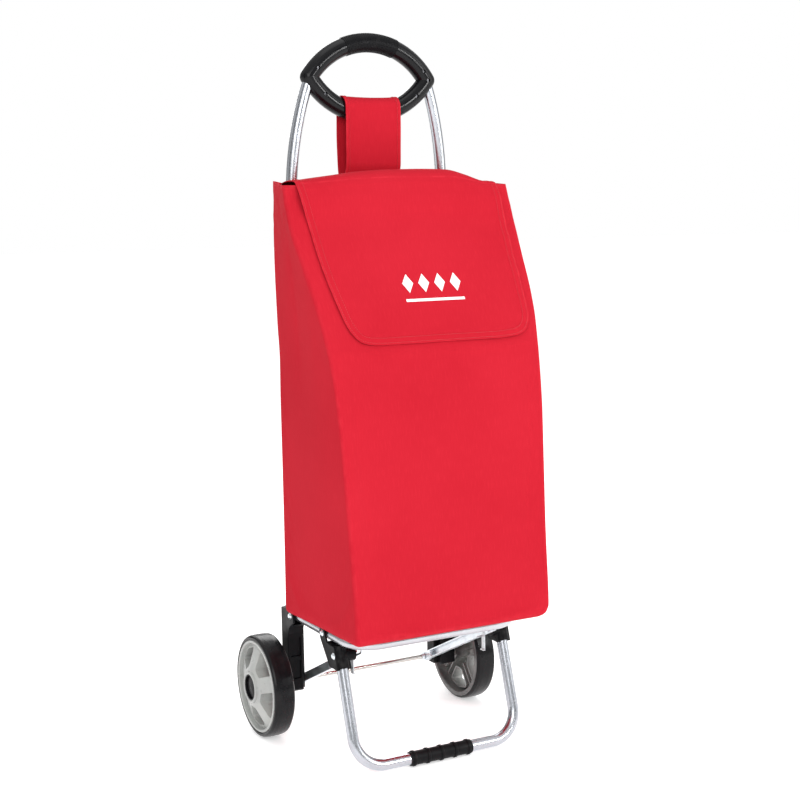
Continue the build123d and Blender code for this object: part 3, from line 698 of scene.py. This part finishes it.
# ---------------------------------------------------------------- shells, seams and stitches
def vertex_normals(points, faces):
    """Smooth normals of a surface, pointing the way its faces turn, from each face's first two triangles."""
    p = np.array(points, float)
    total = np.zeros_like(p)
    for corner in (1, 2):
        tri = np.array([(f[0], f[corner], f[corner + 1]) for f in faces if len(f) > corner + 1])
        if len(tri):
            n = np.cross(p[tri[:, 1]] - p[tri[:, 0]], p[tri[:, 2]] - p[tri[:, 0]])
            for k in range(3):
                np.add.at(total, tri[:, k], n)
    return total / np.maximum(np.linalg.norm(total, axis=1, keepdims=True), TINY)


def shell(name, points, faces, uv, normals, thickness, chosen):
    """Closed thin shell of the chosen faces of a surface; normals at a cut match the piece beyond it."""
    used = sorted({v for i in chosen for v in faces[i]})
    index = {v: k for k, v in enumerate(used)}
    size = len(used)
    outer = [points[v] for v in used]
    inner = [points[v] - normals[v] * thickness for v in used]
    shell_faces, loop_normals = [], []
    edges = {}
    for i in chosen:
        f = faces[i]
        shell_faces.append(tuple(index[v] for v in f))
        loop_normals += [tuple(normals[v]) for v in f]
        shell_faces.append(tuple(index[v] + size for v in reversed(f)))
        loop_normals += [tuple(-normals[v]) for v in reversed(f)]
        for a, b in zip(f, f[1:] + f[:1]):
            edges[(a, b)] = True
    for a, b in edges:
        if (b, a) not in edges:
            start, end, below = Vector(outer[index[b]]), Vector(outer[index[a]]), Vector(inner[index[a]])
            shell_faces.append((index[b], index[a], index[a] + size, index[b] + size))
            loop_normals += [tuple((end - start).cross(below - start).normalized())] * 4
    piece = mesh_object(name, outer + inner, shell_faces, [uv[v] for v in used] * 2)
    piece.data.normals_split_custom_set(loop_normals)
    return piece


STITCH_PITCH = 3.4
STITCH_LENGTH = 2.5
STITCH_R = 0.32
STITCH_LIFT = 0.21                  # a stitch's middle stands this far off the cloth
STITCH_SIDES = 6
# place along a stitch and thickness there, as shares
STITCH_RINGS = ((0.0, 0.25), (0.18, 0.85), (0.5, 1.0), (0.82, 0.85), (1.0, 0.25))


def stitches(name, path, material):
    """A run of raised thread stitches along (place, normal) points, in metres."""
    places = np.array([p for p, _ in path], float)
    normals = np.array([n for _, n in path], float)
    along = np.concatenate([[0], np.cumsum(np.linalg.norm(np.diff(places, axis=0), axis=1))])
    points, faces = [], []
    for k in range(int(along[-1] / (STITCH_PITCH * MM))):
        start = (k + 0.15) * STITCH_PITCH * MM
        first = len(points)
        for share, fat in STITCH_RINGS:
            at = start + share * STITCH_LENGTH * MM
            p = np.array([np.interp(at, along, places[:, c]) for c in range(3)])
            q = np.array([np.interp(at + 0.0002, along, places[:, c]) for c in range(3)])
            n = np.array([np.interp(at, along, normals[:, c]) for c in range(3)])
            n /= max(np.linalg.norm(n), TINY)
            t = (q - p) / max(np.linalg.norm(q - p), TINY)
            side = np.cross(t, n)
            lift = sin(pi * share) * STITCH_LIFT * MM
            for i in range(STITCH_SIDES):
                angle = 2 * pi * i / STITCH_SIDES
                points.append(p + n * lift + (side * cos(angle) + n * sin(angle)) * STITCH_R * fat * MM)
        for r in range(len(STITCH_RINGS) - 1):
            for i in range(STITCH_SIDES):
                a = first + r * STITCH_SIDES + i
                b = first + r * STITCH_SIDES + (i + 1) % STITCH_SIDES
                faces.append((a, b, b + STITCH_SIDES, a + STITCH_SIDES))
        end = first + (len(STITCH_RINGS) - 1) * STITCH_SIDES
        faces.append(tuple(first + i for i in reversed(range(STITCH_SIDES))))
        faces.append(tuple(end + i for i in range(STITCH_SIDES)))
    piece = mesh_object(name, points, faces)
    piece.data.materials.append(material)
    return piece


BAG_SAG = 4.0                       # no part of the bag moves further than this as it settles
HELD_BELOW, HELD_ABOVE = 206, 772   # the bag's floor and rim are held, in millimetres of height
FLAP_COVERS_ABOVE = 575
FLAP_COVERS_TO = -0.02              # the flap covers the wall in front of this depth, in metres
RIM_HEM = 13.0
SEAM_INSET = 5                      # cells between the rear corners and their stitches


def bag_hold(bag, girth, heights):
    """How firmly each of the bag's vertices is held: its floor, rim, corners and the wall behind the flap."""
    held = []
    corners = []
    run = 0
    for cells in GIRTH_RUNS:
        corners.append(run + CORNER_CELLS // 2)
        run += CORNER_CELLS + cells
    for k, v in enumerate(bag.data.vertices):
        row, i = divmod(k, girth)
        if row >= len(heights) or heights[row] < HELD_BELOW or heights[row] > HELD_ABOVE:
            held.append(1.0)
            continue
        near = min(min(abs(i - c), girth - abs(i - c)) for c in corners)
        covered = v.co.y < FLAP_COVERS_TO and heights[row] > FLAP_COVERS_ABOVE
        held.append(1.0 if near <= 1 or covered else 0.0)
    return held


def bag_stitches(bag, girth, heights, thread):
    """Rows of stitches: round the rim's hem, round the bottom, and down both sides of the rear corners."""
    points = np.array([v.co for v in bag.data.vertices])
    faces = [tuple(f.vertices) for f in bag.data.polygons]
    n = vertex_normals(points, faces)
    rear_right = GIRTH_RUNS[0] + CORNER_CELLS + CORNER_CELLS // 2
    rear_left = rear_right + GIRTH_RUNS[1] + CORNER_CELLS
    foot = len(BAG_FOOT) - 1
    hem = min(range(len(heights)), key=lambda row: abs(heights[row] - BAG_TOP + RIM_HEM))
    lines = {}
    for name, row in (("rim", hem), ("bottom", foot)):
        lines[name] = [row * girth + i % girth for i in range(girth + 1)]
    for name, column in (("back_right", rear_right), ("back_left", rear_left)):
        lines[name] = [row * girth + column + SEAM_INSET for row in range(foot, len(heights))]
    return [
        stitches(f"bag_stitches_{name}", [(points[v] + n[v] * 0.1 * MM, n[v]) for v in line], thread)
        for name, line in lines.items()
    ]


# ---------------------------------------------------------------- flap
# (y, z) of the flap's line from its seam over the top and down the front: at its crown, and at its sides
FLAP_CROWN = (
    (52, 806), (42, 814), (22, 820), (2, 822.5), (-16, 822), (-29, 817), (-37, 807), (-42, 792), (-49, 768),
    (-60, 735), (-78, 700), (-98, 660), (-118, 620), (-125, 603), (-130, 588),
)
FLAP_SIDE = (
    (51, 799), (38, 801.5), (20, 804), (2, 805.5), (-14, 806), (-26, 805), (-34, 799), (-40, 788), (-48, 765),
    (-60, 734), (-78, 700), (-98, 660), (-118, 620), (-125, 603), (-130, 588),
)
FLAP_CROWN_SHARE = (
    (-162, 0.0), (-140, 0.16), (-98, 0.48), (-50, 0.8), (0, 0.97), (40, 1.0), (82, 0.95), (112, 0.55),
    (138, 0.02), (162, -0.2),
)
FLAP_LEFT = (
    (588, -79), (589, -96), (592.5, -110), (600, -119), (612, -126.5), (639, -134), (670, -140.5),
    (709, -146), (750, -150), (790, -157), (806, -158.5), (823, -158.5),
)
FLAP_RIGHT = (
    (588, 100), (590, 126), (594, 139), (601, 148), (612, 154), (623, 156.5), (644, 157.5), (690, 158.5),
    (720, 159.5), (760, 159), (789, 158), (806, 157), (823, 157),
)
FLAP_TOP = 823.0
FLAP_COLUMNS = 120
FLAP_ROWS = 150
FLAP_LOWER_ROWS = 44                # of these, closely spaced rows along the last two nodes
FLAP_TOP_NODES = 5                  # up to here the flap lies over the mouth, at its full width
CREASE_NODE = 5.6                   # the flap bends here when it is opened
SEAM_NARROW = 10.0                  # the flap's seam is this much shorter on each side than its front
HEM_WIDTH = 11.0
HEM_RISE = 0.7
EDGE_ROUND = 1.4
EDGE_STITCHES, HEM_STITCHES = 2.6, 9.6       # distances of the stitch lines from the flap's edge
FLAP_THICK = 1.2
FACING_THICK = 0.5
FACING_GAP = 0.25
FACING_ROWS = (3, 5)                # rows of the facing above and below the bend


def flap_point(x, w):
    """Place on the flap, in millimetres, at a width and a share w along its nodes."""
    crown = float(smooth_curve(FLAP_CROWN_SHARE, x))
    steps = range(len(FLAP_CROWN))
    y, z = (
        crown * float(smooth_curve([(i, FLAP_CROWN[i][k]) for i in steps], w))
        + (1 - crown) * float(smooth_curve([(i, FLAP_SIDE[i][k]) for i in steps], w))
        for k in (0, 1)
    )
    hang = clamp((790.0 - z) / 40.0)
    hang = hang * hang * (3 - 2 * hang)
    lower = clamp((700.0 - z) / 110.0)
    edge = clamp(abs(x) / 155.0) ** 3
    gap = 3.6 + 1.6 * lower * edge + 0.9 * ripple(x, 0, z, 46.0, 2.2) * (0.4 + 0.6 * lower)
    gap += 1.8 * max(0.0, x / 150.0) ** 5 * (1 + ripple(0, 0, z, 12.0, 4.4)) * hang
    y = y * (1 - hang) + (front_y(x, min(z, 757.0 + (z - 757.0) * 0.6)) - gap) * hang
    z += (1 - hang) * 0.9 * ripple(x, y, 0, 60.0, 9.3)
    return Vector((x, y, z))


def flap_width(z):
    return float(smooth_curve(FLAP_LEFT, z)), float(smooth_curve(FLAP_RIGHT, z))


def flap_grid():
    """Points of the flap, its faces, cloth coordinates and each row's share along the nodes."""
    last = len(FLAP_CROWN) - 1
    upper_rows = FLAP_ROWS - FLAP_LOWER_ROWS
    shares = [(last - 2.0) * i / upper_rows for i in range(upper_rows)]
    shares += [last - 2.0 * cos(pi / 2 * i / FLAP_LOWER_ROWS) for i in range(FLAP_LOWER_ROWS + 1)]
    nodes_z = [(i, FLAP_CROWN[i][1]) for i in range(last + 1)]
    points, uv, faces = [], [], []
    run = 0.0
    before = None
    for w in shares:
        z = float(smooth_curve(nodes_z, w)) if w > FLAP_TOP_NODES else FLAP_TOP
        left, right = flap_width(z)
        narrow = SEAM_NARROW * max(0.0, 1 - w / 4) ** 1.5
        left, right = left + narrow, right - narrow
        row = []
        for i in range(FLAP_COLUMNS + 1):
            x = left + (right - left) * i / FLAP_COLUMNS
            row.append(flap_point(x, w))
        middle = row[FLAP_COLUMNS // 2]
        if before is not None:
            run += (Vector((0, middle.y, middle.z)) - Vector((0, before.y, before.z))).length
        before = middle
        points += [p * MM for p in row]
        uv += [(p.x * MM, -run * MM) for p in row]
    width = FLAP_COLUMNS + 1
    for r in range(len(shares) - 1):
        for i in range(FLAP_COLUMNS):
            a = r * width + i
            faces.append((a, a + width, a + width + 1, a + 1))
    return points, faces, uv, shares


def outline_distance(flat, outline):
    """How far each flat point is from a line of flat points."""
    best = np.full(len(flat), np.inf)
    for a, b in zip(outline, outline[1:]):
        d = b - a
        t = np.clip(((flat - a) @ d) / max(d @ d, TINY), 0, 1)
        best = np.minimum(best, np.linalg.norm(flat - a - t[:, None] * d, axis=1))
    return best


def read_surface(target, flat, points, normals, width, rows):
    """Place and normal on a grid surface at one of its flat coordinates."""
    runs = flat[::width, 1]
    r = int(np.clip(np.searchsorted(-runs, -target[1]) - 1, 0, rows - 2))
    t = (target[1] - runs[r]) / (runs[r + 1] - runs[r] or TINY)
    found = []
    for row in (r, r + 1):
        xs = flat[row * width:(row + 1) * width, 0]
        c = int(np.clip(np.searchsorted(xs, target[0]) - 1, 0, width - 2))
        s = (target[0] - xs[c]) / (xs[c + 1] - xs[c] or TINY)
        i = row * width + c
        found.append((points[i] * (1 - s) + points[i + 1] * s, normals[i] * (1 - s) + normals[i + 1] * s))
    place = found[0][0] * (1 - t) + found[1][0] * t
    normal = found[0][1] * (1 - t) + found[1][1] * t
    return place, normal / max(np.linalg.norm(normal), TINY)


def inset_line(outline, distance):
    """The outline moved inwards, to the left of its direction, without places closer than the distance."""
    step = np.gradient(outline, axis=0)
    step /= np.maximum(np.linalg.norm(step, axis=1, keepdims=True), TINY)
    moved = outline + np.stack([-step[:, 1], step[:, 0]], axis=1) * distance
    return moved[outline_distance(moved, outline) > distance * 0.97]


def hemmed(p, faces, flat, outline):
    """The flap's points with its hem raised and its very edge rounded off, and their normals."""
    away = outline_distance(flat, outline) / MM
    band = np.clip((HEM_WIDTH - away) / 1.6 + 0.5, 0, 1)
    edge = np.clip((EDGE_ROUND - away) / EDGE_ROUND, 0, 1)
    p = p + vertex_normals(p, faces) * ((HEM_RISE * band - 0.5 * edge)[:, None] * MM)
    return p, vertex_normals(p, faces)


def flap_stitches(outline, surface, crease_run, thread):
    """Two lines of stitches along the flap's edge, each cut at the bend, with the body each run rides."""
    pieces = []
    for inset, label in ((EDGE_STITCHES, "edge"), (HEM_STITCHES, "hem")):
        line = inset_line(outline, inset * MM)
        for upper, side, body in ((True, "top", "flap"), (False, "front", "flap_drop")):
            runs, run = [], []
            for q in line:
                if (q[1] > crease_run) == upper:
                    run.append(q)
                elif run:
                    runs.append(run)
                    run = []
            if run:
                runs.append(run)
            for k, run in enumerate(runs):
                if len(run) > 3:
                    path = [read_surface(q, *surface) for q in run]
                    pieces.append((stitches(f"flap_{label}_stitches_{side}_{k}", path, thread), body))
    return pieces


def make_flap(cloth, thread):
    """The flap's two halves, the facing behind the bend and the stitches, each with the body it rides."""
    points, faces, uv, shares = flap_grid()
    width, rows = FLAP_COLUMNS + 1, len(shares)
    flat = np.array(uv, float)
    outline = np.concatenate([flat[::width], flat[(rows - 1) * width:], flat[width - 1::width][::-1]])
    p, n = hemmed(np.array(points, float), faces, flat, outline)
    crease = next(i for i, w in enumerate(shares) if w >= CREASE_NODE)
    cut = crease * FLAP_COLUMNS
    # the facing is sewn behind the bend, so that the flap stays one cloth to the eye when it is opened
    above, below = FACING_ROWS
    facing_faces = range(cut - above * FLAP_COLUMNS, cut + below * FLAP_COLUMNS)
    tucked = [v + (FLAP_THICK + FACING_GAP) * MM * -m for v, m in zip(p, n)]
    facing = shell("flap_facing", tucked, faces, uv, n, FACING_THICK * MM, facing_faces)
    facing.data.materials.append(cloth)
    pieces = []
    for name, body, node, chosen in (
        ("flap_cloth_top", "flap", "flap_top", range(cut)),
        ("flap_cloth_front", "flap_drop", "flap_front", range(cut, len(faces))),
    ):
        piece = shell(name, p, faces, uv, n, FLAP_THICK * MM, chosen)
        piece.data.materials.append(cloth)
        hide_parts(node)
        pieces.append((piece, body))
    pieces.append((facing, "flap"))
    surface = (flat, p, n, width, rows)
    return pieces + flap_stitches(outline, surface, flat[crease * width, 1], thread), surface


PRINT_HEIGHT = 0.662                # in metres
PRINT_LIFT = 0.25
PRINT_MIDDLE = 15.0
PRINT_CELLS = 8
DIAMOND_HALF_WIDE, DIAMOND_HALF_TALL, DIAMOND_PITCH, DIAMOND_RISE = 8.5, 14.0, 25.0, 6.0
BAR_HALF_WIDE, BAR_HALF_TALL, BAR_RISE = 46.0, 2.0, -19.0


def make_print(surface, ink):
    """Plain white printed pattern on the flap: a row of diamonds over a thin bar."""
    flat, p, _, width, _ = surface
    heights = p[width // 2::width, 2]
    run = flat[int(np.argmin(np.abs(heights - PRINT_HEIGHT))) * width, 1]
    points, faces = [], []

    def patch(x, y, corners):
        """Four-cornered patch that follows the cloth."""
        c = np.array(corners, float)
        first = len(points)
        for i in range(PRINT_CELLS + 1):
            for j in range(PRINT_CELLS + 1):
                a, b = i / PRINT_CELLS, j / PRINT_CELLS
                q = (1 - a) * ((1 - b) * c[0] + b * c[1]) + a * ((1 - b) * c[3] + b * c[2])
                place, normal = read_surface(((x + q[0]) * MM, run + (y + q[1]) * MM), *surface)
                points.append(place + normal * PRINT_LIFT * MM)
        for i in range(PRINT_CELLS):
            for j in range(PRINT_CELLS):
                a = first + i * (PRINT_CELLS + 1) + j
                faces.append((a, a + 1, a + PRINT_CELLS + 2, a + PRINT_CELLS + 1))

    w, h = DIAMOND_HALF_WIDE, DIAMOND_HALF_TALL
    for k in range(4):
        patch(PRINT_MIDDLE + DIAMOND_PITCH * (k - 1.5), DIAMOND_RISE, ((-w, 0), (0, h), (w, 0), (0, -h)))
    w, h = BAR_HALF_WIDE, BAR_HALF_TALL
    patch(PRINT_MIDDLE, BAR_RISE, ((-w, -h), (-w, h), (w, h), (w, -h)))
    piece = mesh_object("flap_print", points, faces)
    piece.data.materials.append(ink)
    return piece


# ---------------------------------------------------------------- strap
STRAP_HALF = 43.5
STRAP_THICK = 1.5
STRAP_ROWS, STRAP_COLUMNS = 110, 34
STRAP_HEM = 0.55
STRAP_HEM_FROM = 0.84               # the hem's inner edge, as a share of the half width
LOOP_MIDDLE = (60.5, 911.6)         # (y, z) of the middle of the handle bar that the strap goes over
LOOP_ROUND = 15.6


def strap_line():
    """(y, z) line of the strap's outer face: up the back, over the bar and down the front."""
    y, z = LOOP_MIDDLE
    r = LOOP_ROUND
    line = [(58.3, 786.0), (59.2, 798.0), (66.5, 808.0), (73.5, 820.0), (75.6, 838.0)]
    line += [(y + r + 0.4, z - 38.0), (y + r + 0.1, z - 14.0)]
    for i in range(13):
        angle = pi * i / 12
        line.append((y + r * cos(angle), z + r * sin(angle)))
    line += [(y - r + 0.2, z - 18.0), (y - r + 0.8, z - 50.0)]
    line += [(46.6, 832.0), (51.0, 817.0), (54.6, 806.0), (55.1, 797.0), (55.1, 786.0)]
    return np.array(line, float)


def make_strap(cloth, thread):
    """The strap and the stitches along its sides."""
    line = strap_line()
    along = np.concatenate([[0], np.cumsum(np.linalg.norm(np.diff(line, axis=0), axis=1))])
    rows, columns = STRAP_ROWS, STRAP_COLUMNS
    at = np.linspace(0, along[-1], rows + 1)
    ys = smooth_curve(list(zip(along, line[:, 0])), at)
    zs = smooth_curve(list(zip(along, line[:, 1])), at)
    points, uv, faces = [], [], []
    for r in range(rows + 1):
        before, after = max(0, r - 1), min(rows, r + 1)
        t = Vector((0, ys[after] - ys[before], zs[after] - zs[before])).normalized()
        out = Vector((0, t.z, -t.y))
        over = exp(-((at[r] - along[-1] * 0.5) / 40.0) ** 2)
        for c in range(columns + 1):
            share = 2 * c / columns - 1
            x = STRAP_HALF * share + 0.8 * ripple(0, 0, at[r], 50.0, 6.1) * (1 - over)
            slack = (1 - over) * (0.9 * ripple(x, 0, at[r], 40.0, 3.3) + 1.2 * (share ** 2 - 0.6))
            hem = STRAP_HEM if abs(share) > STRAP_HEM_FROM else 0.0
            sag = -1.6 * over * (1 - share ** 2)
            q = Vector((x, ys[r], zs[r])) + out * (slack * sin(pi * r / rows) + hem + sag)
            points.append(q * MM)
            uv.append((x * MM, at[r] * MM))
    width = columns + 1
    for r in range(rows):
        for c in range(columns):
            a = r * width + c
            faces.append((a, a + 1, a + width + 1, a + width))
    p = np.array(points, float)
    n = vertex_normals(p, faces)
    if n[(rows // 2) * width + columns // 2][2] < 0:
        faces = [tuple(reversed(f)) for f in faces]
        n = -n
    piece = shell("strap_cloth", p, faces, uv, n, STRAP_THICK * MM, range(len(faces)))
    piece.data.materials.append(cloth)
    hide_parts("bag_strap")
    pieces = [piece]
    for side, c in (("left", 2), ("right", columns - 2)):
        path = [(p[r * width + c], n[r * width + c]) for r in range(2, rows - 1)]
        pieces.append(stitches(f"strap_stitches_{side}", path, thread))
    return pieces


make_camera()
make_studio()
dress_frame()
red = red_polyester()
thread = sewing_thread()

bag, bag_girth, bag_heights = make_bag()
settle(bag, bag_hold(bag, bag_girth, bag_heights), BAG_SAG * MM)
bag_seams = bag_stitches(bag, bag_girth, bag_heights, thread)
bag.data.materials.append(red)
thicken(bag, CLOTH * MM)
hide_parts("bag_body")
for piece in [bag, *bag_seams]:
    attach(piece, "frame")
    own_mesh(piece)

flap_pieces, flap_surface = make_flap(red, thread)
flap_pieces.append((make_print(flap_surface, print_ink()), "flap_drop"))
for piece, body in flap_pieces:
    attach(piece, body)
    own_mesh(piece)

strap_pieces = make_strap(red, thread)
for piece in strap_pieces:
    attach(piece, "frame")
